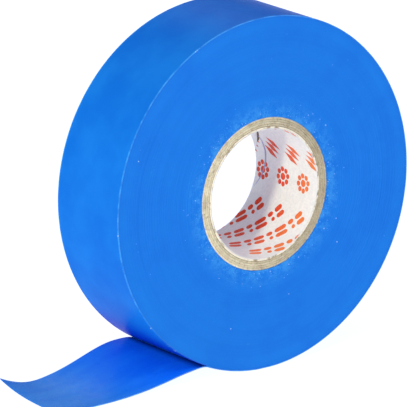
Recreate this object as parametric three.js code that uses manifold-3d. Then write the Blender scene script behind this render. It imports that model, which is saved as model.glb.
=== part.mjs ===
// A roll of PVC electrical tape standing on its rim, with its free end peeled away and lying on
// the surface that the roll stands on.
// Millimetres and degrees. The origin is the roll's centre, +Y runs along the roll's axis from
// the near side face to the far one, the tail leaves towards -X, and +Z is up.
import * as THREE from 'three';
import { mergeVertices } from 'three/addons/utils/BufferGeometryUtils.js';
import Module from 'manifold-3d';

// The tape: a film with an adhesive on its inner side, wound on the core.
const TAPE_WIDTH = 19;
const FILM_THICKNESS = 0.13;
const ADHESIVE_THICKNESS = 0.02;
const TAPE_LENGTH = 20000;

// The core: a printed liner inside spirally wound board plies, each with its own butt seam.
const BORE_RADIUS = 12.5;
const LINER_THICKNESS = 0.1;
const PLY_COUNT = 5;
const PLY_THICKNESS = 0.42;
const GLUE_LINE = 0.015;
const SEAM_GAP = 0.3;
const LINER_SEAM_GAP = 0.15;
const WINDING_ANGLE = 35;
const FIRST_SEAM_ANGLE = -74;
const SEAM_STAGGER = 137;

// The tail: the strip peels along a slightly skewed line, humps over and lies down on the floor.
// Each edge lifts off the roll at its own angle from the lowest point, and its arc is drawn by
// two handles: one at the lift-off and a level one where it has landed. The far edge, which
// lifts off last, ends LANDED_LENGTH past its landing, and the near edge ends square with it.
const NEAR_EDGE = { liftAngle: 23.7, heading: 3, liftHandle: 6.7, landingHandle: 16.4 };
const FAR_EDGE = { liftAngle: 30, heading: 12.7, liftHandle: 8.8, landingHandle: 13.2 };
const LANDING_REACH = 26.5;
const LANDED_LENGTH = 4;
const CORNER_CURL_HEIGHT = 2.1;
const CORNER_CURL_START = 0.72;
const ROOT_LENGTH = 1.2;
const TAIL_PIECES = 3;
const HINGE_GAP = 0.3;
const ROLL_CLEARANCE = 0.05;
const FLOOR_CLEARANCE = 0.02;

// Facets: every round piece has the same ones, so that nested walls stay parallel, and one flat
// lies level at the bottom.
const ROUND_FACETS = 64;
const SEAM_STEPS = 24;
const SEAM_OVERCUT = 0.2;
const TAIL_STEPS = 8;
const TAIL_STRIPS_ACROSS = 4;
const NORMAL_STEP = 0.002;

const wasm = await Module();
wasm.setup();

const TAPE_THICKNESS = FILM_THICKNESS + ADHESIVE_THICKNESS;
const LINER_RADIUS = BORE_RADIUS + LINER_THICKNESS;
const CORE_RADIUS = LINER_RADIUS + PLY_COUNT * (GLUE_LINE + PLY_THICKNESS);
const PACK_BORE_RADIUS = CORE_RADIUS + GLUE_LINE;
const PACK_RADIUS = Math.sqrt(PACK_BORE_RADIUS ** 2 + TAPE_LENGTH * TAPE_THICKNESS / Math.PI);
const FLOOR = -PACK_RADIUS * Math.cos(Math.PI / ROUND_FACETS);

const FINISHES = {
  liner: { color: 0xeeeaf0, roughness: 0.75 },
  board: { color: 0xc8bc9e, roughness: 0.9 },
  tape: { color: 0x1f76e6, roughness: 0.4 },
  film: { color: 0x1663d8, roughness: 0.3 },
  adhesive: { color: 0x1458d6, roughness: 0.22 },
};

const roll = new THREE.Group();

function addPiece(parent, name, geometry, finish) {
  const material = new THREE.MeshStandardMaterial({ ...FINISHES[finish], metalness: 0 });
  const piece = new THREE.Mesh(geometry, material);
  piece.name = name;
  parent.add(piece);
}

function solidFrom(geometry) {
  const bare = geometry.clone();
  bare.deleteAttribute('normal');
  bare.deleteAttribute('uv');
  const merged = mergeVertices(bare);
  return new wasm.Manifold(new wasm.Mesh({
    numProp: 3,
    vertProperties: merged.attributes.position.array,
    triVerts: new Uint32Array(merged.index.array),
  }));
}

function geometryFrom(solid) {
  const mesh = solid.getMesh();
  const geometry = new THREE.BufferGeometry();
  geometry.setAttribute('position', new THREE.BufferAttribute(mesh.vertProperties, 3));
  geometry.setIndex(new THREE.BufferAttribute(mesh.triVerts, 1));
  return geometry;
}

// A square-ended tube round the Y axis, as wide as the tape.
function tube(innerRadius, outerRadius) {
  const half = TAPE_WIDTH / 2;
  const profile = [
    new THREE.Vector2(innerRadius, -half),
    new THREE.Vector2(outerRadius, -half),
    new THREE.Vector2(outerRadius, half),
    new THREE.Vector2(innerRadius, half),
    new THREE.Vector2(innerRadius, -half),
  ];
  return new THREE.LatheGeometry(profile, ROUND_FACETS, Math.PI / ROUND_FACETS);
}

// A thin blade through a wall that follows the wall's winding round the Y axis.
function seamBlade(innerRadius, outerRadius, gap, startAngle) {
  const winding = THREE.MathUtils.degToRad(WINDING_ANGLE);
  const radialDepth = outerRadius - innerRadius + 2 * SEAM_OVERCUT;
  const middleRadius = (innerRadius + outerRadius) / 2;
  const length = TAPE_WIDTH + 2 * SEAM_OVERCUT;
  const blade = new THREE.BoxGeometry(
    radialDepth, length, gap / Math.sin(winding), 1, SEAM_STEPS, 1);
  blade.translate(middleRadius, 0, 0);
  const turnPerMillimetre = 1 / (Math.tan(winding) * middleRadius);
  const upAxis = new THREE.Vector3(0, 1, 0);
  const corner = new THREE.Vector3();
  const corners = blade.attributes.position;
  for (let i = 0; i < corners.count; i += 1) {
    corner.fromBufferAttribute(corners, i);
    const turn = THREE.MathUtils.degToRad(startAngle) + corner.y * turnPerMillimetre;
    corner.applyAxisAngle(upAxis, turn);
    corners.setXYZ(i, corner.x, corner.y, corner.z);
  }
  return blade;
}

// A wound layer of the core: a tube split by the seam between its own edges.
function woundLayer(innerRadius, outerRadius, gap, seamAngle) {
  const wall = solidFrom(tube(innerRadius, outerRadius));
  const blade = solidFrom(seamBlade(innerRadius, outerRadius, gap, seamAngle));
  return geometryFrom(wall.subtract(blade));
}

function addCore(parent) {
  const liner = woundLayer(BORE_RADIUS, LINER_RADIUS, LINER_SEAM_GAP, FIRST_SEAM_ANGLE);
  addPiece(parent, 'core_liner', liner, 'liner');
  for (let ply = 1; ply <= PLY_COUNT; ply += 1) {
    const outer = LINER_RADIUS + ply * (GLUE_LINE + PLY_THICKNESS);
    const seamAngle = FIRST_SEAM_ANGLE + ply * SEAM_STAGGER;
    const layer = woundLayer(outer - PLY_THICKNESS, outer, SEAM_GAP, seamAngle);
    addPiece(parent, `core_ply_${ply}`, layer, 'board');
  }
}

// Where an edge of the tail's upper side leaves the roll.
function liftPoint(edge) {
  const angle = THREE.MathUtils.degToRad(edge.liftAngle);
  const liftRadius = PACK_RADIUS + ROLL_CLEARANCE;
  return new THREE.Vector2(-liftRadius * Math.sin(angle), -liftRadius * Math.cos(angle));
}

// One edge of the tail's upper side, from its lift-off to the square-cut end.
function edgePath(edge, endX) {
  const heading = THREE.MathUtils.degToRad(edge.heading);
  const landed = FLOOR + FLOOR_CLEARANCE + TAPE_THICKNESS;
  const lift = liftPoint(edge);
  const landing = new THREE.Vector2(lift.x - LANDING_REACH, landed);
  const rise = new THREE.Vector2(-Math.cos(heading), Math.sin(heading));
  const path = new THREE.CurvePath();
  path.add(new THREE.CubicBezierCurve(
    lift,
    rise.multiplyScalar(edge.liftHandle).add(lift),
    new THREE.Vector2(landing.x + edge.landingHandle, landed),
    landing));
  path.add(new THREE.LineCurve(landing, new THREE.Vector2(endX, landed)));
  return path;
}

const tailEndX = liftPoint(FAR_EDGE).x - LANDING_REACH - LANDED_LENGTH;
const nearEdge = edgePath(NEAR_EDGE, tailEndX);
const farEdge = edgePath(FAR_EDGE, tailEndX);
const tailLength = (nearEdge.getLength() + farEdge.getLength()) / 2;

// A point of the tail's upper side: along runs from 0 at the roll to 1 at the cut end, and
// across from 0 at the near edge to 1 at the far edge, whose corner curls up.
function tailPoint(along, across) {
  const share = Math.min(along, 1);
  const point = nearEdge.getPoint(share).lerp(farEdge.getPoint(share), across);
  const past = Math.max(0, (along - CORNER_CURL_START) / (1 - CORNER_CURL_START));
  const curl = CORNER_CURL_HEIGHT * past ** 2 * across ** 3;
  return new THREE.Vector3(point.x, (across - 0.5) * TAPE_WIDTH, point.y + curl);
}

// The upper side's outward direction, away from the floor.
function tailNormal(along, across) {
  const from = Math.max(0, along - NORMAL_STEP);
  const to = Math.min(1, along + NORMAL_STEP);
  const lengthways = tailPoint(to, across).sub(tailPoint(from, across));
  const sideways = tailPoint(along, 1).sub(tailPoint(along, 0));
  return sideways.cross(lengthways).normalize();
}

// A closed layer of the strip between two depths below its upper side. Both faces use one grid
// of triangles, so that a layer and the next one under it share a face exactly.
function stripLayer(from, to, upperDepth, lowerDepth) {
  const grid = new THREE.PlaneGeometry(1, 1, TAIL_STEPS, TAIL_STRIPS_ACROSS);
  const points = grid.attributes.position;
  const count = points.count;
  const upper = [];
  const lower = [];
  for (let i = 0; i < count; i += 1) {
    const along = THREE.MathUtils.lerp(to, from, points.getX(i) + 0.5);
    const across = points.getY(i) + 0.5;
    const normal = tailNormal(along, across);
    upper.push(...tailPoint(along, across).addScaledVector(normal, -upperDepth));
    lower.push(...tailPoint(along, across).addScaledVector(normal, -lowerDepth));
  }
  const faces = [];
  for (let i = 0; i < grid.index.count; i += 3) {
    const [a, b, c] = grid.index.array.slice(i, i + 3);
    faces.push(a, b, c, count + a, count + c, count + b);
  }
  for (const [a, b] of gridBorder()) {
    faces.push(a, count + a, b, b, count + a, count + b);
  }
  const layer = new THREE.BufferGeometry();
  layer.setAttribute('position', new THREE.Float32BufferAttribute([...upper, ...lower], 3));
  layer.setIndex(faces);
  return layer;
}

// The grid's border as pairs of neighbours, in the same sense as its triangles.
function gridBorder() {
  const row = TAIL_STEPS + 1;
  const last = row * TAIL_STRIPS_ACROSS;
  const loop = [];
  for (let i = 0; i < TAIL_STRIPS_ACROSS; i += 1) loop.push(i * row);
  for (let i = 0; i < TAIL_STEPS; i += 1) loop.push(last + i);
  for (let i = TAIL_STRIPS_ACROSS; i > 0; i -= 1) loop.push(i * row + TAIL_STEPS);
  for (let i = TAIL_STEPS; i > 0; i -= 1) loop.push(i);
  return loop.map((point, i) => [point, loop[(i + 1) % loop.length]]);
}

function addStrip(parent, name, from, to) {
  const adhesive = stripLayer(from, to, 0, ADHESIVE_THICKNESS);
  const film = stripLayer(from, to, ADHESIVE_THICKNESS, TAPE_THICKNESS);
  addPiece(parent, `${name}_adhesive`, adhesive, 'adhesive');
  addPiece(parent, `${name}_film`, film, 'film');
}

// The strip from the peel line to the cut end: a short root, then equal lengths that bend at
// the gaps between them.
function addTail(parent) {
  const gap = HINGE_GAP / tailLength;
  const root = ROOT_LENGTH / tailLength;
  const pieceLength = (1 - root - TAIL_PIECES * gap) / TAIL_PIECES;
  addStrip(parent, 'tail_root', 0, root);
  for (let piece = 1; piece <= TAIL_PIECES; piece += 1) {
    const from = root + piece * gap + (piece - 1) * pieceLength;
    addStrip(parent, `tail_${piece}`, from, from + pieceLength);
  }
}

addCore(roll);
addPiece(roll, 'tape_pack', tube(PACK_BORE_RADIUS, PACK_RADIUS), 'tape');
addTail(roll);

export default roll;
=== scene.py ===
"""The looks of a roll of PVC electrical tape: its wound turns and peeled tail, its board core and
the printed liner in its bore, on a plain floor. Metres throughout; the roll's axis is Y."""

import math

import bmesh
import bpy
import numpy as np
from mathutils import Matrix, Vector


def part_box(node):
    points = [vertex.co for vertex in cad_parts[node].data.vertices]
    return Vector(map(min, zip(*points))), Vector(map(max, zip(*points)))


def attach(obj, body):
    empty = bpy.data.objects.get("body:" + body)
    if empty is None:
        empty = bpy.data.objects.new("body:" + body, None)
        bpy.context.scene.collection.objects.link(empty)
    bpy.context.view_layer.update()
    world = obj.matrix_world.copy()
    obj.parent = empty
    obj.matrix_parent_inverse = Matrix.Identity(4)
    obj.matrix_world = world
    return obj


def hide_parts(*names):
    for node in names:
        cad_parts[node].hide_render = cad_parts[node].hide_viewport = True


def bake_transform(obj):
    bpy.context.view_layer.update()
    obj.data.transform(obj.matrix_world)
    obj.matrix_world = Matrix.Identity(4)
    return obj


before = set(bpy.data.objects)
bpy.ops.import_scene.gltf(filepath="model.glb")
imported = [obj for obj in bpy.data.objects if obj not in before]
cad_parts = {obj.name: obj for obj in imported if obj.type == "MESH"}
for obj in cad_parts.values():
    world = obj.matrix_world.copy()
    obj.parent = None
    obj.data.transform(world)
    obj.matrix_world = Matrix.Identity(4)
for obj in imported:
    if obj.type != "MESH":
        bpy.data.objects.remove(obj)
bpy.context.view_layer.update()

MM = 0.001

# ---- sizes
ROUND_FACETS = 64
FLAT_SHARE = math.cos(math.pi / ROUND_FACETS)


def radius_of(node):
    """The outer radius of a round node, whose facets lie level at the sides."""
    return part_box(node)[1].x / FLAT_SHARE


PACK_RADIUS = radius_of("tape_pack")
OUTER_TURN_LENGTH = 2 * math.pi * PACK_RADIUS
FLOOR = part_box("tape_pack")[0].z
HALF_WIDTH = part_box("tape_pack")[1].y
TAPE_WIDTH = 2 * HALF_WIDTH
LINER_RADIUS = radius_of("core_liner")
PLY_COUNT = 5
PLY_RADII = [radius_of(f"core_ply_{ply}") for ply in range(1, PLY_COUNT + 1)]
CORE_RADIUS = PLY_RADII[-1]

FILM_THICKNESS = 0.13 * MM
ADHESIVE_THICKNESS = 0.02 * MM
TAPE_THICKNESS = FILM_THICKNESS + ADHESIVE_THICKNESS
LINER_THICKNESS = 0.1 * MM
BORE_RADIUS = LINER_RADIUS - LINER_THICKNESS
PLY_THICKNESS = 0.42 * MM
GLUE_LINE = 0.015 * MM
WINDING = math.radians(35)
FIRST_SEAM_ANGLE = math.radians(-74)
SEAM_STAGGER = math.radians(137)

# The course of the tail's two edges. Angles are in degrees and handles in millimetres.
NEAR_EDGE = {"lift_angle": 23.7, "heading": 3, "lift_handle": 6.7, "landing_handle": 16.4}
FAR_EDGE = {"lift_angle": 30, "heading": 12.7, "lift_handle": 8.8, "landing_handle": 13.2}
LANDING_REACH = 26.5 * MM
LANDED_LENGTH = 4 * MM
CORNER_CURL_HEIGHT = 2.1 * MM
CORNER_CURL_START = 0.72
ROOT_LENGTH = 1.2 * MM
HINGE_GAP = 0.3 * MM
TAIL_PIECES = 3
ROLL_CLEARANCE = 0.05 * MM
FLOOR_CLEARANCE = 0.02 * MM


# ---- meshes
# Two faces that meet at more than this many degrees keep a crisp edge between them.
CORNER_ANGLE = 40
WOUND_CORNER_ANGLE = 30
FOLD_CORNER_ANGLE = 80


def smooth_steps(value, start, end):
    """0 before start, 1 after end and an even ease between them."""
    share = np.clip((value - start) / (end - start), 0, 1)
    return share * share * (3 - 2 * share)


def signed_volume(points, quads):
    """The volume that the faces enclose: negative when they point inwards."""
    a, b, c, d = (points[quads[:, corner]] for corner in range(4))
    halves = np.cross(b, c) + np.cross(c, d)
    return float(np.einsum("ij,ij->", a, halves)) / 6


def add_mesh(name, points, quads, finish, sharp_angle=CORNER_ANGLE):
    """A piece made of these points and faces, turned to face outwards."""
    if signed_volume(points, quads) < 0:
        quads = quads[:, ::-1]
    mesh = bpy.data.meshes.new(name)
    mesh.from_pydata(points.tolist(), [], quads.tolist())
    return add_object(name, mesh, finish, sharp_angle)


def add_object(name, mesh, finish, sharp_angle=CORNER_ANGLE):
    """A piece with this mesh and finish, smooth but for its corners."""
    mesh.shade_smooth()
    mesh.set_sharp_from_angle(angle=math.radians(sharp_angle))
    mesh.materials.clear()
    mesh.materials.append(finish)
    piece = bpy.data.objects.new(name, mesh)
    bpy.context.scene.collection.objects.link(piece)
    return piece


def closed_sheet(upper, under):
    """Points and faces of the closed solid between two like grids [lengthways][crossways]."""
    long, wide = upper.shape[:2]
    points = np.vstack([upper.reshape(-1, 3), under.reshape(-1, 3)])
    top = np.arange(long * wide).reshape(long, wide)
    low = top + long * wide

    def strip(a, b, c, d):
        return np.stack([a.ravel(), b.ravel(), c.ravel(), d.ravel()], axis=1)

    faces = [
        strip(top[:-1, :-1], top[1:, :-1], top[1:, 1:], top[:-1, 1:]),
        strip(low[:-1, 1:], low[1:, 1:], low[1:, :-1], low[:-1, :-1]),
        strip(top[1:, 0], top[:-1, 0], low[:-1, 0], low[1:, 0]),
        strip(top[:-1, -1], top[1:, -1], low[1:, -1], low[:-1, -1]),
        strip(top[0, :-1], top[0, 1:], low[0, 1:], low[0, :-1]),
        strip(top[-1, 1:], top[-1, :-1], low[-1, :-1], low[-1, 1:]),
    ]
    return points, np.vstack(faces)


def polar(radius, angle, y):
    """Points on circles round the axis, their angles taken from the top towards +X."""
    places = np.broadcast_arrays(radius * np.sin(angle), y, radius * np.cos(angle))
    return np.stack(places, axis=-1)


# ---- nodes
class Nodes:
    """Short ways to add nodes to a tree and join them up."""

    def join(self, socket, value):
        """Links a socket to another one, or fills it in with a plain value."""
        if isinstance(value, bpy.types.NodeSocket):
            self.tree.links.new(value, socket)
        else:
            socket.default_value = value

    def add(self, kind, inputs=None, **settings):
        """A node of that kind, with its settings made and its inputs linked or filled in."""
        node = self.tree.nodes.new(kind)
        for setting, value in settings.items():
            setattr(node, setting, value)
        for socket, value in (inputs or {}).items():
            self.join(node.inputs[socket], value)
        return node

    def maths(self, operation, a, b=0.0):
        return self.add("ShaderNodeMath", {0: a, 1: b}, operation=operation).outputs[0]

    def vector_maths(self, operation, inputs, output="Vector"):
        node = self.add("ShaderNodeVectorMath", inputs, operation=operation)
        return node.outputs[output]

    def axis_distance(self, place):
        """The distance of a place from the roll's axis."""
        flat = self.vector_maths("MULTIPLY", {0: place, 1: (1, 0, 1)})
        return self.vector_maths("LENGTH", {0: flat}, "Value")


# ---- finishes
# The sockets of a Mix node for its share and two colours, and for the colour it makes.
MIX_SHARE, MIX_UNDER, MIX_OVER = 0, 6, 7
MIX_RESULT = 2


class Finish(Nodes):
    """A procedural material: one principled shader, and short ways to feed it."""

    def __init__(self, name, **sockets):
        self.material = bpy.data.materials.new(name)
        self.material.use_nodes = True
        self.tree = self.material.node_tree
        self.shader = self.tree.nodes["Principled BSDF"]
        self.place = self.add("ShaderNodeTexCoord").outputs["Object"]
        for socket, value in sockets.items():
            self.put(socket.replace("_", " "), value)

    def put(self, socket, value):
        """Gives one of the shader's own sockets a value or a link."""
        self.join(self.shader.inputs[socket], value)

    def noise(self, scale, detail=3, roughness=0.5, place=None):
        inputs = {"Vector": place or self.place, "Scale": scale, "Detail": detail,
                  "Roughness": roughness}
        return self.add("ShaderNodeTexNoise", inputs).outputs["Fac"]

    def noise_along(self, value, scale, detail, roughness=0.5):
        """Noise that changes with one value only, such as a distance."""
        inputs = {"W": value, "Scale": scale, "Detail": detail, "Roughness": roughness}
        return self.add("ShaderNodeTexNoise", inputs, noise_dimensions="1D").outputs["Fac"]

    def stretched(self, scale):
        """The place on the piece, scaled differently along each axis to draw a pattern out."""
        mapping = self.add("ShaderNodeMapping", {"Vector": self.place, "Scale": scale})
        return mapping.outputs["Vector"]

    def spread(self, value, low, high, to_low=0.0, to_high=1.0):
        """value carried from low..high to to_low..to_high, held at both ends and eased."""
        inputs = {"Value": value, "From Min": low, "From Max": high, "To Min": to_low,
                  "To Max": to_high}
        node = self.add("ShaderNodeMapRange", inputs, interpolation_type="SMOOTHSTEP")
        return node.outputs["Result"]

    def blend(self, share, under, over):
        """Colour under where share is 0 and colour over where it is 1."""
        node = self.add("ShaderNodeMix", {MIX_SHARE: share, MIX_UNDER: under, MIX_OVER: over},
                        data_type="RGBA")
        return node.outputs[MIX_RESULT]

    def paint(self, under, over, value, low, high, amount=1.0):
        """Colour under, covered by colour over up to that amount as value goes low to high."""
        return self.blend(self.spread(value, low, high, 0.0, amount), under, over)

    def part(self, axis):
        """How far along one axis a point of the piece lies."""
        return self.add("ShaderNodeSeparateXYZ", {"Vector": self.place}).outputs[axis]

    def middle_distance(self):
        """The distance of a point from the middle of the tape's width."""
        return self.maths("ABSOLUTE", self.part("Y"))

    def strip_length(self):
        """The length along the strip from the peel line, which is below zero on the roll."""
        return self.add("ShaderNodeAttribute", attribute_name="strip_length").outputs["Fac"]

    def bump(self, height, depth, strength=1.0):
        inputs = {"Height": height, "Distance": depth, "Strength": strength}
        self.put("Normal", self.add("ShaderNodeBump", inputs).outputs["Normal"])


def colour(red, green, blue):
    """A shader colour from the red, green and blue that a screen shows, 0 to 255."""
    def light(part):
        share = part / 255
        return share / 12.92 if share <= 0.04045 else ((share + 0.055) / 1.055) ** 2.4
    return (light(red), light(green), light(blue), 1.0)


def side_finish():
    """The slit edges of the turns: satin blue, faint rings, a dusty paler halo round the core."""
    finish = Finish("slit_edges", Specular_IOR_Level=0.1)
    away = finish.axis_distance(finish.place)
    rings = finish.noise_along(away, scale=2400, detail=4, roughness=0.7)
    broad_rings = finish.noise_along(away, scale=420, detail=2)
    cloud = finish.noise(scale=160, detail=4, roughness=0.6)
    smears = finish.noise(scale=360, detail=6, roughness=0.85)
    grain = finish.noise(scale=2600, detail=2, roughness=0.6)
    blue = finish.paint(colour(16, 116, 212), colour(28, 130, 218), rings, 0.3, 0.7, 0.22)
    blue = finish.paint(blue, colour(24, 128, 220), broad_rings, 0.35, 0.7, 0.35)
    blue = finish.paint(blue, colour(12, 106, 206), cloud, 0.35, 0.75, 0.45)
    halo = finish.spread(away, CORE_RADIUS, CORE_RADIUS + 4.4 * MM, 0.75, 0.0)
    dusty = finish.maths("MULTIPLY", halo, finish.spread(smears, 0.42, 0.62))
    finish.put("Base Color", finish.blend(dusty, blue, colour(62, 156, 226)))
    finish.put("Roughness", finish.spread(grain, 0.3, 0.7, 0.42, 0.58))
    finish.bump(finish.maths("ADD", rings, finish.maths("MULTIPLY", grain, 0.4)), 0.006 * MM)
    return finish.material


def film_finish():
    """The glossy outer side of the film: blue, with a painted shade of deeper blue beside the
    peel line, and pale edges that are partly wear and partly a painted highlight.
    """
    finish = Finish("pvc_film", Specular_IOR_Level=0.014)
    cloud = finish.noise(scale=90, detail=4, roughness=0.55)
    scuffs = finish.noise(scale=500, detail=4, roughness=0.7)
    grain = finish.noise(scale=1500, detail=3, roughness=0.6)
    ripples = finish.noise(scale=260, place=finish.stretched((1, 0.25, 1)))
    past_peel = finish.maths("ADD", finish.strip_length(), OUTER_TURN_LENGTH)
    blue = finish.paint(colour(16, 107, 206), colour(24, 120, 214), cloud, 0.35, 0.7)
    # Painted shade: a deeper blue over the 16 mm of film beside the peel line, where the tail
    # shades the roll.
    blue = finish.paint(blue, colour(0, 44, 190), past_peel, 16 * MM, 3 * MM, 0.9)
    # Pale edge: partly scuffed wear, partly a painted highlight along the edge. It is left off
    # within 10 to 24 mm of the peel line as painted shade.
    edge_wear_and_highlight = finish.spread(finish.middle_distance(), HALF_WIDTH - 0.34 * MM,
                         HALF_WIDTH - 0.1 * MM)
    edge_wear_and_highlight = finish.maths("MULTIPLY", edge_wear_and_highlight, finish.spread(scuffs, 0.35, 0.65, 0.15, 0.8))
    edge_wear_and_highlight = finish.maths("MULTIPLY", edge_wear_and_highlight, finish.spread(past_peel, 10 * MM, 24 * MM))
    finish.put("Base Color", finish.blend(edge_wear_and_highlight, blue, colour(70, 166, 240)))
    finish.put("Roughness", finish.spread(grain, 0.3, 0.7, 0.30, 0.40))
    finish.bump(ripples, 0.05 * MM, strength=0.5)
    return finish.material


def adhesive_finish():
    """The adhesive side of the peeled tail: deep blue, greyer towards its end, and a painted
    shade of dark navy where it parts from the roll."""
    finish = Finish("tape_adhesive", Specular_IOR_Level=0.04)
    length = finish.strip_length()
    streaks = finish.noise(scale=300, detail=4, roughness=0.6,
                           place=finish.stretched((0.3, 1, 1)))
    drag = finish.noise(scale=700, detail=4, roughness=0.6, place=finish.stretched((0.4, 1, 1)))
    sheen = finish.noise(scale=900)
    deep = finish.paint(colour(8, 104, 246), colour(14, 117, 250), streaks, 0.3, 0.7)
    # Towards the tail's end the blue turns greyer.
    end_grey = finish.paint(colour(40, 134, 218), colour(58, 146, 222), streaks, 0.3, 0.7)
    blue = finish.paint(deep, end_grey, length, 4 * MM, 28 * MM, 0.9)
    # Painted shade: dark navy over the tail's first 2.7 mm from the peel line, where it parts
    # from the roll.
    blue = finish.paint(blue, colour(2, 24, 136), length, 2.7 * MM, 0.2 * MM, 0.85)
    blue = finish.paint(blue, colour(150, 190, 245), finish.middle_distance(),
                        HALF_WIDTH - 0.14 * MM, HALF_WIDTH - 0.02 * MM, 0.6)
    finish.put("Base Color", blue)
    finish.put("Roughness", finish.spread(sheen, 0.3, 0.7, 0.26, 0.42))
    finish.bump(drag, 0.03 * MM, strength=0.5)
    return finish.material


def board_finish():
    """Grey-tan core board: short fibres, dark and pinkish flecks, a glue line and a rubbed pale
    edge beside the liner, a painted shade that darkens it towards +X, and a painted shade of dark
    brown inside the seams."""
    finish = Finish("core_board", Specular_IOR_Level=0.1, Roughness=0.9)
    away = finish.axis_distance(finish.place)
    fibres = finish.noise(scale=1400, detail=6, roughness=0.7)
    layers = finish.noise_along(away, scale=2300, detail=1)
    shade = finish.noise(scale=350, detail=3, roughness=0.6)
    patches = finish.noise(scale=620, detail=5, roughness=0.75)
    flecks = finish.noise(scale=2100, detail=2)
    pink = finish.noise(scale=1500, detail=2, place=finish.stretched((1.3, 1, 0.8)))
    rubs = finish.noise(scale=700)
    tan = finish.paint(colour(224, 214, 174), colour(253, 247, 216), fibres, 0.3, 0.7)
    tan = finish.paint(tan, colour(196, 184, 144), layers, 0.35, 0.65, 0.55)
    tan = finish.paint(tan, colour(190, 172, 142), shade, 0.45, 0.75, 0.5)
    # Painted shade: the board turns darker and greyer towards +X.
    tan = finish.paint(tan, colour(156, 142, 114), finish.part("X"), -12 * MM, 14 * MM, 0.6)
    tan = finish.paint(tan, colour(150, 134, 104), patches, 0.46, 0.66, 0.45)
    tan = finish.paint(tan, colour(112, 96, 72), flecks, 0.6, 0.7, 0.45)
    tan = finish.paint(tan, colour(206, 160, 150), pink, 0.6, 0.7, 0.5)
    tan = finish.paint(tan, colour(136, 112, 78), away, LINER_RADIUS + 0.6 * MM,
                       LINER_RADIUS + 0.4 * MM, 0.5)
    lip = finish.spread(away, LINER_RADIUS + 0.42 * MM, LINER_RADIUS + 0.3 * MM, 0.0, 0.95)
    rubbed = finish.maths("MULTIPLY", lip, finish.spread(rubs, 0.3, 0.5))
    tan = finish.blend(rubbed, tan, colour(250, 243, 218))
    # Painted shade: dark brown over the board's inside, which shows only in the seams and in the
    # liner's notch.
    tan = finish.paint(tan, colour(96, 74, 50), finish.middle_distance(),
                       HALF_WIDTH - 0.15 * MM, HALF_WIDTH - 0.3 * MM, 0.9)
    finish.put("Base Color", tan)
    finish.bump(fibres, 0.08 * MM, strength=0.8)
    return finish.material


def paper_finish():
    """White liner paper with a faint fibre."""
    finish = Finish("liner_paper", Specular_IOR_Level=0.25)
    fibres = finish.noise(scale=1800, detail=5, roughness=0.65)
    pulp = finish.noise(scale=900, detail=4, roughness=0.6)
    white = finish.paint(colour(226, 227, 224), colour(240, 239, 234), fibres, 0.3, 0.7)
    finish.put("Base Color", white)
    finish.put("Roughness", finish.spread(fibres, 0.3, 0.7, 0.55, 0.7))
    finish.bump(pulp, 0.02 * MM, strength=0.6)
    return finish.material


def ink_finish():
    """Orange-red print, mottled by the paper's fibre, with painted light that turns it more
    orange towards the near edge.
    """
    finish = Finish("liner_ink", Specular_IOR_Level=0.3, Roughness=0.5)
    mottle = finish.noise(scale=2400, detail=4, roughness=0.7)
    red = finish.paint(colour(214, 52, 18), colour(236, 104, 48), mottle, 0.4, 0.75)
    # Painted light: the print turns lighter orange towards the near edge, where the bore is lit.
    red = finish.paint(red, colour(240, 136, 66), finish.part("Y"), 2 * MM, -HALF_WIDTH, 0.8)
    finish.put("Base Color", red)
    finish.bump(mottle, 0.01 * MM)
    return finish.material


def dust_finish():
    """Pale dust and slitting swarf."""
    finish = Finish("dust", Specular_IOR_Level=0.2, Roughness=0.8)
    grains = finish.noise(scale=500, detail=1)
    pale = finish.paint(colour(64, 150, 236), colour(196, 222, 240), grains, 0.45, 0.8)
    finish.put("Base Color", pale)
    return finish.material


def paper_scrap_finish(name, specular, roughness, scale, detail, grain, dull, pale):
    """Loose paper, or the crease's paper in a painted lilac-grey shade, cloudy between a duller
    colour and a paler one.
    """
    finish = Finish(name, Specular_IOR_Level=specular, Roughness=roughness)
    cloud = finish.noise(scale, detail, grain)
    finish.put("Base Color", finish.blend(cloud, dull, pale))
    return finish.material


def floor_finish():
    """A plain pale floor, which gives off a little light so that it stays white."""
    finish = Finish("floor_paint", Specular_IOR_Level=0.0, Roughness=1.0)
    cloud = finish.noise(scale=40, detail=2)
    finish.put("Base Color", finish.blend(cloud, colour(104, 104, 104), colour(110, 110, 110)))
    finish.put("Emission Color", (0.79, 0.83, 1, 1))
    finish.put("Emission Strength", 1.2)
    return finish.material


SLIT_EDGES = side_finish()
PVC_FILM = film_finish()
ADHESIVE = adhesive_finish()
BOARD = board_finish()
PAPER = paper_finish()
INK = ink_finish()
DUST = dust_finish()
# Painted shade: the crease's lilac-grey colour.
CREASE_SHADE = paper_scrap_finish("crease_painted_shade", specular=0.2, roughness=0.7, scale=1500, detail=4,
                            grain=0.6, dull=colour(138, 138, 186), pale=colour(196, 190, 216))
FIBRES = paper_scrap_finish("paper_fibres", specular=0.1, roughness=0.9, scale=2500, detail=2,
                            grain=0.5, dull=colour(196, 186, 158), pale=colour(238, 232, 214))
FUZZ = paper_scrap_finish("liner_fuzz", specular=0.1, roughness=0.9, scale=2500, detail=2,
                          grain=0.5, dull=colour(226, 218, 196), pale=colour(248, 244, 236))


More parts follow.
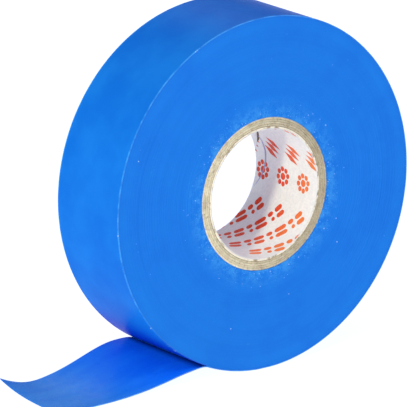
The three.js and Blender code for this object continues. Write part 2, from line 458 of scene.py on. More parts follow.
# ---- geometry nodes
class Maker(Nodes):
    """A Geometry Nodes tree built from named inputs, run once and turned into a plain mesh."""

    def __init__(self, name):
        self.tree = bpy.data.node_groups.new(name, "GeometryNodeTree")
        self.open_socket("Geometry", "INPUT", "NodeSocketGeometry")
        self.values = {}
        self.inside = self.tree.nodes.new("NodeGroupInput")

    def open_socket(self, name, way, kind):
        return self.tree.interface.new_socket(name, in_out=way, socket_type=kind)

    def take(self, name, value, kind="NodeSocketFloat"):
        """A named input of the tree, and the socket that brings it in."""
        socket = self.open_socket(name, "INPUT", kind)
        self.values[socket.identifier] = value
        return self.inside.outputs[name]

    def run(self, base, geometry, finish, name, sharp_angle=CORNER_ANGLE):
        """Realizes the geometry made from base, sets its finish and returns a plain object."""
        self.open_socket("Geometry", "OUTPUT", "NodeSocketGeometry")
        real = self.add("GeometryNodeRealizeInstances", {"Geometry": geometry})
        painted = self.add("GeometryNodeSetMaterial", {"Geometry": real.outputs["Geometry"],
                                                       "Material": finish})
        self.add("NodeGroupOutput", {"Geometry": painted.outputs["Geometry"]})
        carrier = bpy.data.objects.new(name + "_base", base)
        bpy.context.scene.collection.objects.link(carrier)
        modifier = carrier.modifiers.new(name, "NODES")
        modifier.node_group = self.tree
        for identifier, value in self.values.items():
            modifier[identifier] = value
        bpy.context.view_layer.update()
        evaluated = carrier.evaluated_get(bpy.context.evaluated_depsgraph_get())
        mesh = bpy.data.meshes.new_from_object(evaluated)
        mesh.name = name
        bpy.data.objects.remove(carrier)
        return add_object(name, mesh, finish, sharp_angle)


# ---- the wound turns
UNDER_OUTER_TURN = PACK_RADIUS - 2 * TAPE_THICKNESS
TURN_GAP = 0.004 * MM
TURN_STEPS = 96
EDGE_WANDER = 0.05 * MM
WANDER_PER_TURN = 0.9
WANDER_DETAIL = 3.0


def wind_turns():
    """The tape wound on the core, as one strip in a spiral. Its first and last turns taper to
    nothing, so that the winding fills the room between the core and the turn outside it."""
    maker = Maker("winding")
    steps = maker.take("Steps per turn", TURN_STEPS, "NodeSocketInt")
    pitch = maker.take("Tape thickness", TAPE_THICKNESS)
    width = maker.take("Tape width", TAPE_WIDTH)
    inner = maker.take("Inner radius", CORE_RADIUS + GLUE_LINE)
    outer = maker.take("Outer radius", UNDER_OUTER_TURN)
    gap = maker.take("Gap between turns", TURN_GAP)
    wander = maker.take("Edge wander", EDGE_WANDER)
    rate = maker.take("Wander per turn", WANDER_PER_TURN)
    half_pitch = maker.maths("MULTIPLY", pitch, 0.5)
    first = maker.maths("SUBTRACT", inner, half_pitch)
    last = maker.maths("ADD", outer, half_pitch)
    count = maker.maths("DIVIDE", maker.maths("SUBTRACT", last, first), pitch)
    spiral = maker.add("GeometryNodeCurveSpiral", {
        "Resolution": steps, "Rotations": count, "Start Radius": first, "End Radius": last,
        "Height": 0.0})
    course = maker.add("GeometryNodeSplineParameter")
    wound = maker.maths("MULTIPLY", course.outputs["Factor"], count)
    kept = maker.add("GeometryNodeCaptureAttribute", {"Geometry": spiral.outputs["Curve"]},
                     domain="POINT")
    kept.capture_items.new("FLOAT", "Turn")
    maker.join(kept.inputs["Turn"], wound)
    section = maker.add("GeometryNodeCurvePrimitiveQuadrilateral", {
        "Width": maker.maths("SUBTRACT", pitch, gap), "Height": width})
    strip = maker.add("GeometryNodeCurveToMesh", {
        "Curve": kept.outputs["Geometry"], "Profile Curve": section.outputs["Curve"],
        "Fill Caps": True})
    place = maker.add("GeometryNodeInputPosition").outputs["Position"]
    flat = maker.vector_maths("MULTIPLY", {0: place, 1: (1, 1, 0)})
    away = maker.vector_maths("LENGTH", {0: flat}, "Value")
    held = maker.add("ShaderNodeClamp", {"Value": away, "Min": inner, "Max": outer})
    share = maker.maths("DIVIDE", held.outputs["Result"], away)
    drawn = maker.vector_maths("SCALE", {0: flat, "Scale": share})
    shift = maker.add("ShaderNodeTexNoise", {
        "W": maker.maths("MULTIPLY", kept.outputs["Turn"], rate), "Scale": 1.0,
        "Detail": WANDER_DETAIL}, noise_dimensions="1D")
    height = maker.add("ShaderNodeSeparateXYZ", {"Vector": place}).outputs["Z"]
    uneven = maker.maths("MULTIPLY", maker.maths("SUBTRACT", shift.outputs["Fac"], 0.5), wander)
    side = maker.maths("SIGN", height)
    moved = maker.maths("ADD", height, maker.maths("MULTIPLY", uneven, side))
    up = maker.add("ShaderNodeCombineXYZ", {"Z": moved})
    total = maker.vector_maths("ADD", {0: drawn, 1: up.outputs["Vector"]})
    shaped = maker.add("GeometryNodeSetPosition", {"Geometry": strip.outputs["Mesh"],
                                                   "Position": total})
    stood = maker.add("GeometryNodeTransform", {"Geometry": shaped.outputs["Geometry"],
                                                "Rotation": (math.pi / 2, 0, 0)})
    empty = bpy.data.meshes.new("winding_base")
    turns = maker.run(empty, stood.outputs["Geometry"], SLIT_EDGES, "tape_turns",
                      WOUND_CORNER_ANGLE)
    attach(turns, "roll")
    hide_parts("tape_pack")
    return turns


# ---- the outer turn and the tail
def lift_point(edge):
    """Where an edge of the strip leaves the roll, as X and Z."""
    angle = math.radians(edge["lift_angle"])
    reach = PACK_RADIUS + ROLL_CLEARANCE
    return np.array([-reach * math.sin(angle), -reach * math.cos(angle)])


LANDED_HEIGHT = FLOOR + FLOOR_CLEARANCE + TAPE_THICKNESS
TAIL_END_X = lift_point(FAR_EDGE)[0] - LANDING_REACH - LANDED_LENGTH
PATH_SAMPLES = 400


def edge_path(edge):
    """Points along one edge of the tail's upper side, as X and Z, and their running length."""
    heading = math.radians(edge["heading"])
    lift = lift_point(edge)
    landing = np.array([lift[0] - LANDING_REACH, LANDED_HEIGHT])
    outwards = np.array([-math.cos(heading), math.sin(heading)])
    first_handle = lift + outwards * edge["lift_handle"] * MM
    second_handle = landing + np.array([edge["landing_handle"] * MM, 0])
    t = np.linspace(0, 1, PATH_SAMPLES)[:, None]
    arc = ((1 - t) ** 3 * lift + 3 * (1 - t) ** 2 * t * first_handle
           + 3 * (1 - t) * t ** 2 * second_handle + t ** 3 * landing)
    points = np.vstack([arc, [[TAIL_END_X, LANDED_HEIGHT]]])
    steps = np.linalg.norm(np.diff(points, axis=0), axis=1)
    return points, np.concatenate([[0], np.cumsum(steps)])


NEAR_PATH = edge_path(NEAR_EDGE)
FAR_PATH = edge_path(FAR_EDGE)
TAIL_LENGTH = (NEAR_PATH[1][-1] + FAR_PATH[1][-1]) / 2


def point_on(path, along):
    """The point of an edge at a share of its length, as X and Z."""
    points, lengths = path
    at = np.clip(along, 0, 1) * lengths[-1]
    return np.interp(at, lengths, points[:, 0]), np.interp(at, lengths, points[:, 1])


SEAT_LENGTH = 4 * MM
WRAP_BACK = 4.6 * MM


def inner_side(s, across):
    """Points of the strip's inner side, which faces up on the tail. s is the length from the
    peel line, below zero on the roll, and across runs from 0 at the near edge to 1."""
    s, across = np.broadcast_arrays(s, across)
    lift = np.radians(NEAR_EDGE["lift_angle"]
                      + across * (FAR_EDGE["lift_angle"] - NEAR_EDGE["lift_angle"]))
    angle = lift + np.minimum(s, 0) / PACK_RADIUS
    depth = TAPE_THICKNESS * (1 + np.maximum(-s, 0) / OUTER_TURN_LENGTH)
    radius = (PACK_RADIUS - depth)[..., None]
    on_roll = -np.stack([np.sin(angle), np.cos(angle)], axis=-1) * radius
    near = np.stack(point_on(NEAR_PATH, s / TAIL_LENGTH), axis=-1)
    far = np.stack(point_on(FAR_PATH, s / TAIL_LENGTH), axis=-1)
    on_tail = near + (far - near) * across[..., None]
    inwards = np.stack([np.sin(lift), np.cos(lift)], axis=-1)
    seat = (TAPE_THICKNESS + ROLL_CLEARANCE) * (1 - smooth_steps(s, 0, SEAT_LENGTH))
    on_tail = on_tail + inwards * seat[..., None]
    flat = np.where((s < 0)[..., None], on_roll, on_tail)
    past = np.clip((s / TAIL_LENGTH - CORNER_CURL_START) / (1 - CORNER_CURL_START), 0, None)
    curl = CORNER_CURL_HEIGHT * past ** 2 * across ** 3
    return np.stack([flat[..., 0], (across - 0.5) * TAPE_WIDTH, flat[..., 1] + curl], axis=-1)


KINK_REACH = 0.7 * MM
KINK_SAMPLES = 9


def eased_side(s, across):
    """The inner side with the kink at the peel line rounded to a small bend."""
    s, across = np.broadcast_arrays(s, across)
    total = np.zeros(s.shape + (3,))
    near_kink = np.exp(-(s / (2 * KINK_REACH)) ** 2)
    for shift in np.linspace(-1, 1, KINK_SAMPLES):
        total += inner_side(s + shift * KINK_REACH * near_kink, across)
    return total / KINK_SAMPLES


LENGTH_PROBE = 0.05 * MM
ACROSS_PROBE = 0.01


def strip_grid(s, across, depth):
    """Points of the strip at a depth below its inner side."""
    s = np.asarray(s)[:, None]
    across = np.asarray(across)[None, :]
    ahead, behind = (eased_side(s + step, across) for step in (LENGTH_PROBE, -LENGTH_PROBE))
    farther, nearer = (eased_side(s, np.clip(across + step, 0, 1))
                       for step in (ACROSS_PROBE, -ACROSS_PROBE))
    up = np.cross(farther - nearer, ahead - behind)
    up /= np.linalg.norm(up, axis=-1, keepdims=True)
    return eased_side(s, across) - up * depth


ACROSS_STEPS = 40
EDGE_ROUND = 0.05 * MM


def across_shares():
    """Where the strip's points lie across its width, close together at both edges."""
    even = np.linspace(0, 1, ACROSS_STEPS + 1)
    edge = EDGE_ROUND / TAPE_WIDTH
    return np.concatenate([[0, edge], even[1:-1], [1 - edge, 1]])


def strip_piece(name, s, upper_depth, lower_depth, finish):
    """A closed layer of the strip, whose points keep their length from the peel line."""
    across = across_shares()
    upper = strip_grid(s, across, upper_depth)
    under = strip_grid(s, across, lower_depth)
    piece = add_mesh(name, *closed_sheet(upper, under), finish)
    length = piece.data.attributes.new("strip_length", "FLOAT", "POINT")
    length.data.foreach_set("value", np.tile(np.repeat(s, len(across)), 2))
    return piece


LAYER_GAP = 0.0005 * MM
TAIL_STEP = 0.12 * MM
TURN_LENGTH_STEP = 0.35 * MM
SECOND_TURN_ACROSS = 3
PEEL_BEND = 2.6 * MM
TAIL_BEND = 3.2 * MM

# The tail is cut into equal pieces, with a hinge in the gap before each.
PIECE_PITCH = (TAIL_LENGTH - ROOT_LENGTH) / TAIL_PIECES
HINGES = [ROOT_LENGTH + HINGE_GAP / 2 + i * PIECE_PITCH for i in range(TAIL_PIECES)]
MIDDLES = [hinge + PIECE_PITCH / 2 for hinge in HINGES[:-1]]
# Each length of the tail, with its two bodies, its nodes and how far from the hinge it bends.
STRIPS = [
    {"name": "peel", "from": -WRAP_BACK, "to": MIDDLES[0], "bodies": ("peel_line", "tail_1"),
     "nodes": ("tail_root", "tail_1"), "reach": (0.0, PEEL_BEND)},
    {"name": "middle", "from": MIDDLES[0], "to": MIDDLES[1], "bodies": ("tail_1", "tail_2"),
     "nodes": ("tail_2",), "reach": (-TAIL_BEND, TAIL_BEND)},
    {"name": "end", "from": MIDDLES[1], "to": TAIL_LENGTH, "bodies": ("tail_2", "tail_3"),
     "nodes": ("tail_3",), "reach": (-TAIL_BEND, TAIL_BEND)},
]


def lay_tail():
    """The tail's film and adhesive in three lengths, each reaching across one hinge."""
    for strip, hinge in zip(STRIPS, HINGES):
        count = round((strip["to"] - strip["from"]) / TAIL_STEP)
        s = np.linspace(strip["from"], strip["to"], count + 1)
        film = strip_piece(f"tail_{strip['name']}_film", s, ADHESIVE_THICKNESS + LAYER_GAP,
                           TAPE_THICKNESS, PVC_FILM)
        adhesive = strip_piece(f"tail_{strip['name']}_adhesive", s, 0, ADHESIVE_THICKNESS,
                               ADHESIVE)
        ends = [eased_side(hinge + reach, 0.5) for reach in strip["reach"]]
        for piece, layer in ((film, "film"), (adhesive, "adhesive")):
            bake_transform(piece)
            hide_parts(*(f"{node}_{layer}" for node in strip["nodes"]))


def wrap_outer_turn():
    """The outermost turn, which goes with the peel line, and the turn that tapers under it."""
    length = OUTER_TURN_LENGTH - WRAP_BACK
    s = np.linspace(-OUTER_TURN_LENGTH, -WRAP_BACK, round(length / TURN_LENGTH_STEP) + 1)
    film = strip_piece("outer_turn_film", s, ADHESIVE_THICKNESS + LAYER_GAP, TAPE_THICKNESS,
                       PVC_FILM)
    adhesive = strip_piece("outer_turn_adhesive", s, 0, ADHESIVE_THICKNESS, ADHESIVE)
    whole = np.linspace(-OUTER_TURN_LENGTH, 0, round(OUTER_TURN_LENGTH / TURN_LENGTH_STEP) + 1)
    above = strip_grid(whole, np.linspace(0, 1, SECOND_TURN_ACROSS), 0)
    flat = above * np.array([1, 0, 1])
    height = above * np.array([0, 1, 0])
    away = np.linalg.norm(flat, axis=-1, keepdims=True)
    inner_radius = UNDER_OUTER_TURN + TURN_GAP
    thickness = np.maximum(away - UNDER_OUTER_TURN - 2 * TURN_GAP, TURN_GAP)
    inner = flat / away * inner_radius + height
    outer = flat / away * (inner_radius + thickness) + height
    second = add_mesh("second_turn", *closed_sheet(outer, inner), SLIT_EDGES,
                      WOUND_CORNER_ANGLE)
    for piece, slot in ((film, "tape_film"), (adhesive, "tape_adhesive"), (second, "wound_tape")):
        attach(piece, "peel_line")


# ---- the core
BOARD_STEPS = (720, 24)
LINER_STEPS = (540, 64)
PLY_FRAY = 0.05 * MM
LINER_FRAY = 0.01 * MM
PLY_ROUNDING = 0.05 * MM
END_ROUND = 0.12 * MM
# How steeply the fray fades away from the cut ends.
FRAY_POWER = 24
LINER_SEAM = 0.02 * MM
BOARD_SEAM = 0.06 * MM
NOTCH_WIDTH = 1.5 * MM
NOTCH_HEIGHT = 7.0 * MM
NOTCH_REACH = 0.8 * MM
LINER_SEED = 3
PLY_SEED = 10


def wound_wall(name, inner, outer, seam, seam_angle, finish, steps, fray, seed, rounding=0.0,
               notch=0.0):
    """A wound layer of the core: a tube split by its own slanting seam, its cut ends frayed.
    A notch opens the seam wider near the far edge. steps are those round it and along it."""
    rng = np.random.default_rng(seed)
    mean_radius = (inner + outer) / 2
    u = np.linspace(0, 1, steps[0] + 1)
    v = np.linspace(-1, 1, steps[1] + 1)
    end = 1 - END_ROUND / HALF_WIDTH
    v = np.concatenate([[-1, -end], v[1:-1], [end, 1]])[None, :]
    y = v * HALF_WIDTH
    opened = notch * np.exp(-((y - NOTCH_HEIGHT) / NOTCH_REACH) ** 2)
    seam_arc = (seam / math.sin(WINDING) + opened) / mean_radius
    angle = seam_angle + math.pi / 2 + y / (math.tan(WINDING) * mean_radius) + seam_arc / 2
    angle = angle + u[:, None] * (2 * math.pi - seam_arc)
    loose = rng.normal(0, fray, (2, steps[0] + 1))
    set_back = rng.uniform(0, 2 * fray)
    near_end = np.abs(v) ** FRAY_POWER
    grids = []
    for radius, inwards, uneven in ((outer, -1, loose[0]), (inner, 1, loose[1])):
        length = y - np.sign(v) * near_end * (np.abs(uneven)[:, None] + set_back)
        drawn_in = inwards * rounding * (np.abs(v) == 1)
        grids.append(polar(radius + drawn_in, angle, length))
    return add_mesh(name, *closed_sheet(*grids), finish)


def build_core():
    """The paper liner of the bore and the board plies wound round it."""
    liner = wound_wall("liner", BORE_RADIUS, LINER_RADIUS, LINER_SEAM, FIRST_SEAM_ANGLE, PAPER,
                       LINER_STEPS, LINER_FRAY, LINER_SEED, notch=NOTCH_WIDTH)
    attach(liner, "roll")
    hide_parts("core_liner")
    for ply, outer in enumerate(PLY_RADII, 1):
        wall = wound_wall(f"board_ply_{ply}", outer - PLY_THICKNESS, outer, BOARD_SEAM,
                          FIRST_SEAM_ANGLE + ply * SEAM_STAGGER, BOARD, BOARD_STEPS, PLY_FRAY,
                          PLY_SEED + ply, PLY_ROUNDING)
        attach(wall, "roll")
        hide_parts(f"core_ply_{ply}")


# ---- the print on the liner
PRINT_LEVEL = 0.005 * MM
INK_THICKNESS = 0.01 * MM
ROW_PITCH = 6.25 * MM
ROW_START = 1.0 * MM
REPEAT_LENGTH = 38.5 * MM
PRINT_ROWS = 11
PRINT_REPEATS = 5
PRINT_ANGLE = math.radians(94.6)
PRINT_EDGE_MARGIN = 0.02 * MM
PRINT_SEAM_MARGIN = 0.15 * MM
CUT_TOLERANCE = 1e-8

# One repeat of the print: bars in pairs, a rosette of dots and three lozenges.
BARS_START = 7.0 * MM
BAR_LENGTHS = [length * MM for length in (1.9, 1.3, 2.6, 1.3, 2.1, 1.5, 2.4)]
BAR_HEIGHT = 1.15 * MM
PAIR_GAP = 0.4 * MM
BAR_SPACING = 0.45 * MM
SHORT_BAR_SHARE = 0.62
BAR_POINTS = 13
BAR_END_SHARE = 0.995
PETALS = 8
ROSETTE_RADIUS = 1.45 * MM
PETAL_DOT = 1.0 * MM
MIDDLE_DOT = 1.4 * MM
LOZENGE_PLACES = [place * MM for place in (-7.95, -6.6, -5.25)]
LOZENGE_LENGTH = 1.25 * MM
LOZENGE_HEIGHT = 3.9 * MM
LOZENGE_POINTS = 9
LOZENGE_BLUNTNESS = 1.02
SHAPE_ROWS = 3


def flat_shape(outline, start, count):
    """Points and faces of a thin flat shape: outline(u) gives its middle and half height."""
    middle, half = outline(np.linspace(-1, 1, count))
    v = np.linspace(-1, 1, SHAPE_ROWS)[None, :]
    q = start[1] + half[:, None] * v
    p = start[0] + middle[:, None] + np.zeros_like(q)
    upper = np.stack([p, q, np.full_like(p, PRINT_LEVEL + INK_THICKNESS)], axis=-1)
    under = np.stack([p, q, np.full_like(p, PRINT_LEVEL)], axis=-1)
    return closed_sheet(upper, under)


def bar(start, length, height):
    """A bar with round ends, which is a dot when its length is its height."""
    half, end = length / 2, height / 2

    def outline(u):
        reach = u * half * BAR_END_SHARE
        past = np.clip((np.abs(reach) - (half - end)) / end, 0, 1)
        return reach, end * np.sqrt(1 - past ** 2)
    return flat_shape(outline, start, BAR_POINTS)


def lozenge(start, length, height):
    """A lozenge with slightly blunted ends."""
    def outline(u):
        return u * length / 2, height / 2 * (LOZENGE_BLUNTNESS - np.abs(u))
    return flat_shape(outline, start, LOZENGE_POINTS)


def gather(parts):
    """Several shapes' points and faces as one."""
    points, faces, count = [], [], 0
    for part_points, part_faces in parts:
        points.append(part_points)
        faces.append(part_faces + count)
        count += len(part_points)
    return np.vstack(points), np.vstack(faces)


def print_motif():
    """One repeat of the print, flat, with the rosette's middle at the origin."""
    parts = []
    at = BARS_START
    lift = (BAR_HEIGHT + PAIR_GAP) / 2
    for i, length in enumerate(BAR_LENGTHS):
        short = length * (SHORT_BAR_SHARE if i % 2 else 1.0)
        parts.append(bar((at + length / 2, lift), length, BAR_HEIGHT))
        parts.append(bar((at + short / 2, -lift), short, BAR_HEIGHT))
        at += length + BAR_SPACING
    for petal in range(PETALS):
        turn = petal * 2 * math.pi / PETALS
        place = (ROSETTE_RADIUS * math.cos(turn), ROSETTE_RADIUS * math.sin(turn))
        parts.append(bar(place, PETAL_DOT, PETAL_DOT))
    parts.append(bar((0, 0), MIDDLE_DOT, MIDDLE_DOT))
    for place in LOZENGE_PLACES:
        parts.append(lozenge((place, 0), LOZENGE_LENGTH, LOZENGE_HEIGHT))
    points, faces = gather(parts)
    mesh = bpy.data.meshes.new("print_motif")
    mesh.from_pydata(points.tolist(), [], faces.tolist())
    return mesh


def print_liner():
    """The print, laid out flat in slanting rows, trimmed to the liner and rolled up."""
    maker = Maker("print_rows")
    pitch = maker.take("Row pitch", ROW_PITCH)
    repeat = maker.take("Repeat length", REPEAT_LENGTH)
    first = maker.take("First row", ROW_START)
    rows = maker.take("Rows", PRINT_ROWS, "NodeSocketInt")
    repeats = maker.take("Repeats", PRINT_REPEATS, "NodeSocketInt")
    middle_row = maker.maths("DIVIDE", maker.maths("SUBTRACT", rows, 1.0), 2.0)
    middle_repeat = maker.maths("DIVIDE", maker.maths("SUBTRACT", repeats, 1.0), 2.0)
    index = maker.add("GeometryNodeInputIndex").outputs["Index"]
    row = maker.maths("FLOOR", maker.maths("DIVIDE", index, repeats))
    place = maker.maths("MODULO", index, repeats)
    along = maker.maths("MULTIPLY", maker.maths("SUBTRACT", place, middle_repeat), repeat)
    raised = maker.maths("MULTIPLY", maker.maths("SUBTRACT", row, middle_row), pitch)
    level = maker.maths("ADD", first, raised)
    arc = maker.maths("MULTIPLY", along, math.cos(WINDING))
    rise = maker.maths("ADD", level, maker.maths("MULTIPLY", along, math.sin(WINDING)))
    spots = maker.add("GeometryNodePoints", {
        "Count": maker.maths("MULTIPLY", rows, repeats),
        "Position": maker.add("ShaderNodeCombineXYZ", {"X": arc, "Y": rise}).outputs["Vector"]})
    laid = maker.add("GeometryNodeInstanceOnPoints", {
        "Points": spots.outputs["Points"], "Instance": maker.inside.outputs["Geometry"],
        "Rotation": (0, 0, WINDING)})
    flat = maker.run(print_motif(), laid.outputs["Instances"], INK, "liner_print")
    trim(flat)
    roll_up(flat)
    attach(flat, "roll")


def trim(flat):
    """Cuts the flat print at the liner's two edges and at its seam."""
    work = bmesh.new()
    work.from_mesh(flat.data)
    limit = HALF_WIDTH - PRINT_EDGE_MARGIN
    seam = Vector((-math.sin(WINDING), math.cos(WINDING), 0))
    start = (FIRST_SEAM_ANGLE + math.pi / 2 - PRINT_ANGLE) * BORE_RADIUS + PRINT_SEAM_MARGIN
    end = start + 2 * math.pi * BORE_RADIUS - 2 * PRINT_SEAM_MARGIN
    cuts = [((0, limit, 0), (0, 1, 0)), ((0, -limit, 0), (0, -1, 0)), ((start, 0, 0), seam),
            ((end, 0, 0), -seam)]
    for place, outwards in cuts:
        everything = work.verts[:] + work.edges[:] + work.faces[:]
        cut = bmesh.ops.bisect_plane(work, geom=everything, plane_co=place, plane_no=outwards,
                                     clear_outer=True, dist=CUT_TOLERANCE)
        edges = [part for part in cut["geom_cut"] if isinstance(part, bmesh.types.BMEdge)]
        bmesh.ops.edgeloop_fill(work, edges=edges)
    work.to_mesh(flat.data)
    work.free()


def roll_up(flat):
    """Bends a flat layout (arc, height, depth) round the inside of the bore."""
    mesh = flat.data
    points = np.empty(len(mesh.vertices) * 3)
    mesh.vertices.foreach_get("co", points)
    arc, y, depth = points.reshape(-1, 3).T
    rolled = polar(BORE_RADIUS - depth, PRINT_ANGLE + arc / BORE_RADIUS, y)
    mesh.vertices.foreach_set("co", rolled.ravel())
    mesh.update()
    work = bmesh.new()
    work.from_mesh(mesh)
    bmesh.ops.recalc_face_normals(work, faces=work.faces)
    work.to_mesh(mesh)
    work.free()


# The fold in the liner, as angles from the top in degrees and heights in millimetres.
FOLD_COURSE = np.array([(61, 6.9), (66, 6.3), (76, 6.1), (88, 6.5), (100, 7.5), (111, 8.9)])
FOLD_WIDTH = 0.4 * MM
FOLD_HEIGHT = 0.14 * MM
FOLD_LIP = 0.002 * MM
FOLD_LEAN = 0.35
FOLD_BLUNTNESS = 0.01
FOLD_POINTS = (61, 7)


def fold_liner():
    """A crease in the liner, from the torn seam round to the far edge."""
    at = np.linspace(0, 1, FOLD_POINTS[0])[:, None]
    v = np.linspace(-1, 1, FOLD_POINTS[1])[None, :]
    knots = np.linspace(0, 1, len(FOLD_COURSE))
    angle = np.radians(np.interp(at, knots, FOLD_COURSE[:, 0]))
    y = np.interp(at, knots, FOLD_COURSE[:, 1]) * MM
    taper = np.sqrt(np.sin(math.pi * np.clip(at, FOLD_BLUNTNESS, 1 - FOLD_BLUNTNESS)))
    across = y + (v + FOLD_LEAN * (1 - v ** 2)) * FOLD_WIDTH / 2 * taper
    height = FOLD_HEIGHT * (1 - v ** 2) * taper + FOLD_LIP
    upper = polar(BORE_RADIUS - height, angle, across)
    under = polar(BORE_RADIUS, angle, across)
    fold = add_mesh("liner_fold", *closed_sheet(upper, under), CREASE_SHADE, FOLD_CORNER_ANGLE)
    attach(fold, "roll")


# ---- dust, burrs and fibres
BAND_STEPS = 96
BAND_RINGS = 24
# Larger powers gather the grains nearer the core, and make more of them small.
THINNING_POWER = 3.0
SMALLNESS_POWER = 4.0
ANY_TURN = (6.28, 6.28, 6.28)
FIBRE_SIDES = 4

# How many lie on a square metre, and their smallest and largest size. falloff is where they
# start and stop thinning out, and the share left beyond. fibre is a fibre's radius as a share
# of its length.
DUST_GRAINS = {"density": 3.4e6, "size": (0.04 * MM, 0.34 * MM),
               "falloff": (CORE_RADIUS, CORE_RADIUS + 6.5 * MM, 0.009)}
BOARD_FIBRES = {"density": 3.2e6, "size": (0.15 * MM, 1.1 * MM), "fibre": 0.022}
LINER_FUZZ = {"density": 2.4e7, "size": (0.1 * MM, 0.7 * MM), "fibre": 0.03}
EDGE_BURRS = {"density": 9e6, "size": (0.03 * MM, 0.34 * MM)}
# Each face's place along the axis, and the seeds of what lies on it.
FACES = {
    "near": {"y": -HALF_WIDTH, "dust": 4, "fibres": 5, "fuzz": 6},
    "far": {"y": HALF_WIDTH, "dust": 9, "fibres": 8, "fuzz": 7},
}
DUST_BAND = (CORE_RADIUS + 0.2 * MM, UNDER_OUTER_TURN - 0.3 * MM)
FUZZ_BAND = (BORE_RADIUS - 0.02 * MM, LINER_RADIUS + 0.15 * MM)
BURR_BAND = (PACK_RADIUS - 0.16 * MM, PACK_RADIUS - 0.04 * MM)
BURR_SEED = 2
BURR_ARC = (math.radians(200), math.radians(335))


def ring_band(name, inner, outer, y, start=0.0, end=2 * math.pi):
    """A flat band round the axis at a height along it, to scatter things on."""
    angle = np.linspace(start, end, BAND_STEPS + 1)
    rings = [polar(radius, angle, y) for radius in np.linspace(inner, outer, BAND_RINGS + 1)]
    count = len(angle)
    corners = [ring * count + step for ring in range(BAND_RINGS) for step in range(BAND_STEPS)]
    faces = [(at, at + 1, count + at + 1, count + at) for at in corners]
    mesh = bpy.data.meshes.new(name)
    mesh.from_pydata(np.vstack(rings).tolist(), [], faces)
    return mesh


def scatter(name, base, finish, seed, density, size, falloff=None, fibre=None):
    """Small grains or fibres strewn over base with a fixed seed, lying every way."""
    maker = Maker(name + "_scatter")
    thickly = maker.take("Density", density)
    smallest = maker.take("Smallest", size[0])
    largest = maker.take("Largest", size[1])
    key = maker.take("Seed", seed, "NodeSocketInt")
    if falloff:
        start, end, least = falloff
        place = maker.add("GeometryNodeInputPosition").outputs["Position"]
        away = maker.axis_distance(place)
        near = maker.maths("DIVIDE", maker.maths("SUBTRACT", end, away), end - start)
        near = maker.maths("POWER", maker.maths("MAXIMUM", near, 0.0), THINNING_POWER)
        thickly = maker.maths("MULTIPLY", thickly, maker.maths("ADD", near, least))
    points = maker.add("GeometryNodeDistributePointsOnFaces", {
        "Mesh": maker.inside.outputs["Geometry"], "Density": thickly, "Seed": key},
        distribute_method="RANDOM")
    if fibre:
        grain = maker.add("GeometryNodeMeshCylinder", {
            "Vertices": FIBRE_SIDES, "Side Segments": 1, "Radius": fibre, "Depth": 1.0})
    else:
        grain = maker.add("GeometryNodeMeshIcoSphere", {"Radius": 0.5, "Subdivisions": 1})
    turn = maker.add("FunctionNodeRandomValue", {"Max": ANY_TURN, "Seed": key},
                     data_type="FLOAT_VECTOR")
    chance = maker.add("FunctionNodeRandomValue", {"Seed": maker.maths("ADD", key, 1.0)},
                       data_type="FLOAT")
    skewed = maker.maths("POWER", chance.outputs[1], SMALLNESS_POWER)
    span = maker.maths("SUBTRACT", largest, smallest)
    big = maker.maths("ADD", smallest, maker.maths("MULTIPLY", skewed, span))
    strewn = maker.add("GeometryNodeInstanceOnPoints", {
        "Points": points.outputs["Points"], "Instance": grain.outputs["Mesh"],
        "Rotation": turn.outputs[0], "Scale": big})
    return maker.run(base, strewn.outputs["Instances"], finish, name)


def strew_dust():
    """Dust round the core, fibres on the board and fuzz on the liner's edge, on both faces, and
    burrs on the near outer edge."""
    for side, own in FACES.items():
        ring = ring_band("dust_ring", *DUST_BAND, own["y"])
        dust = scatter(f"dust_{side}", ring, DUST, own["dust"], **DUST_GRAINS)
        board = ring_band("fibre_ring", BORE_RADIUS, CORE_RADIUS, own["y"])
        fibres = scatter(f"board_fibres_{side}", board, FIBRES, own["fibres"], **BOARD_FIBRES)
        lip = ring_band("lip_ring", *FUZZ_BAND, own["y"])
        fuzz = scatter(f"liner_fuzz_{side}", lip, FUZZ, own["fuzz"], **LINER_FUZZ)
        for piece, slot in ((dust, "wound_tape"), (fibres, "core_board"), (fuzz, "liner_paper")):
            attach(piece, "roll")
    edge = ring_band("burr_band", *BURR_BAND, -HALF_WIDTH, *BURR_ARC)
    burrs = scatter("edge_burrs", edge, DUST, BURR_SEED, **EDGE_BURRS)
    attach(burrs, "peel_line")


# ---- floor, light and camera
FLOOR_SIDE = 30.0
AIM = Vector((-0.0053, 0.0026, -0.0037))
VIEW_AZIMUTH = math.radians(-37)
VIEW_ELEVATION = math.radians(15.9)
VIEW_DISTANCE = 1.0563
LENS = 494.7
CLIP_START = 0.05
AMBIENT_COLOUR = (0.66, 0.62, 1.0, 1)
AMBIENT_STRENGTH = 0.45
# Each light's name, bearing, height, distance, width, power and tint. Angles are in degrees.
LIGHTS = (
    ("key", -62, 19.7, 1.2, 0.12, 7.8, (1.0, 0.98, 0.72)),
    ("front", 20, 12, 1.6, 0.8, 1.7, (1, 1, 1)),
    ("top", -14, 62, 1.4, 0.9, 5.0, (1, 1, 1)),
    ("side", -95, 1, 1.2, 0.4, 2.6, (0.55, 1.0, 0.85)),
    ("back", 151, 28, 1.2, 0.4, 0.5, (1.0, 0.9, 0.78)),
)


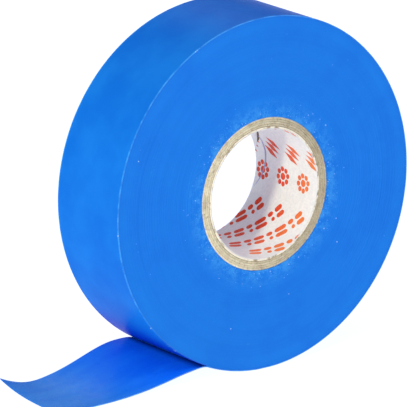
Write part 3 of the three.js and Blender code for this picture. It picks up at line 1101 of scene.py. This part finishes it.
def towards(azimuth, elevation):
    """The direction from the roll to something seen at that bearing and height."""
    return Vector((math.sin(azimuth) * math.cos(elevation),
                   -math.cos(azimuth) * math.cos(elevation), math.sin(elevation)))


def lay_floor():
    """The plain floor that the roll stands on."""
    half = FLOOR_SIDE / 2
    mesh = bpy.data.meshes.new("floor")
    corners = [(-half, -half, FLOOR), (half, -half, FLOOR), (half, half, FLOOR),
               (-half, half, FLOOR)]
    mesh.from_pydata(corners, [], [(0, 1, 2, 3)])
    mesh.materials.append(floor_finish())
    floor = bpy.data.objects.new("floor", mesh)
    bpy.context.scene.collection.objects.link(floor)


def add_camera():
    """The camera, looking slightly down at the near face and the tread on its left."""
    data = bpy.data.cameras.new("camera")
    data.lens = LENS
    data.clip_start = CLIP_START
    camera = bpy.data.objects.new("camera", data)
    back = towards(VIEW_AZIMUTH, VIEW_ELEVATION)
    camera.location = AIM + back * VIEW_DISTANCE
    camera.rotation_euler = (-back).to_track_quat("-Z", "Y").to_euler()
    bpy.context.scene.collection.objects.link(camera)
    bpy.context.scene.camera = camera


def add_light(name, azimuth, elevation, distance, width, power, tint):
    """A round soft lamp that points at the roll."""
    data = bpy.data.lights.new(name, "AREA")
    data.shape = "DISK"
    data.size = width
    data.energy = power
    data.color = tint
    light = bpy.data.objects.new(name, data)
    back = towards(math.radians(azimuth), math.radians(elevation))
    light.location = back * distance
    light.rotation_euler = back.to_track_quat("Z", "Y").to_euler()
    bpy.context.scene.collection.objects.link(light)


def light_studio():
    """Even light from all round, and the lamps."""
    world = bpy.data.worlds.new("studio")
    world.use_nodes = True
    background = world.node_tree.nodes["Background"]
    background.inputs["Color"].default_value = AMBIENT_COLOUR
    background.inputs["Strength"].default_value = AMBIENT_STRENGTH
    bpy.context.scene.world = world
    for light in LIGHTS:
        add_light(*light)
    bpy.context.scene.view_settings.view_transform = "Standard"


lay_floor()
add_camera()
light_studio()
tape_turns = wind_turns()
wrap_outer_turn()
lay_tail()
build_core()
print_liner()
fold_liner()
strew_dust()
